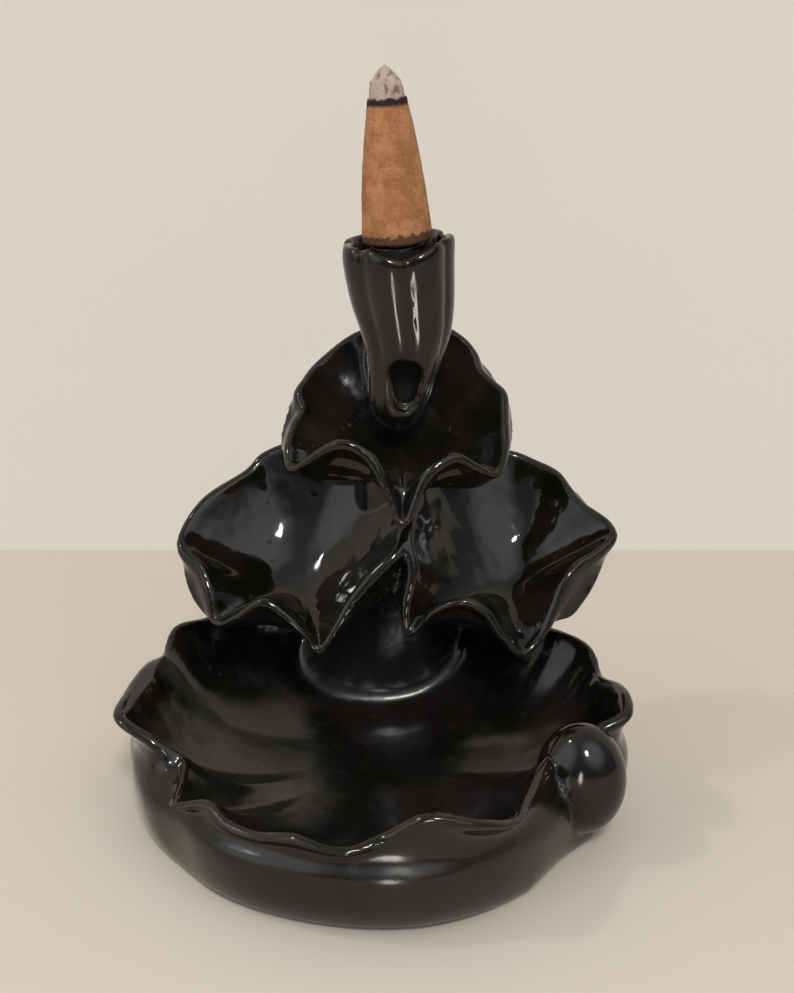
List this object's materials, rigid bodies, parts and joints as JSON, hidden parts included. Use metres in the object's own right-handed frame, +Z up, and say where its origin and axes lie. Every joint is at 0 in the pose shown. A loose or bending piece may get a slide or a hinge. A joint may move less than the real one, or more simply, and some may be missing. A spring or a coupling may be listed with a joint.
{
  "type": "backflow incense burner",
  "caption": "Glazed lotus backflow incense burner: a cone on a petal cup, whose smoke pours from leaf to leaf into a ruffled dish.",
  "frame": {"origin": "middle of the round foot, on the plane it stands on", "axes": "+Z up; the leaves pour and the mouth opens towards -Y, the front; the ball on the dish's rim is on the +X side"},
  "size_m": [0.0953, 0.0887, 0.1361],
  "materials": {
    "glaze": "very glossy black-brown glaze, thinner and lighter along the rims",
    "incense": "matt pressed powder, charred at the top, with grey ash"
  },
  "bodies": {
    "root": {"burner_body": "glaze", "incense_cone": "incense"}
  },
  "joints": []
}
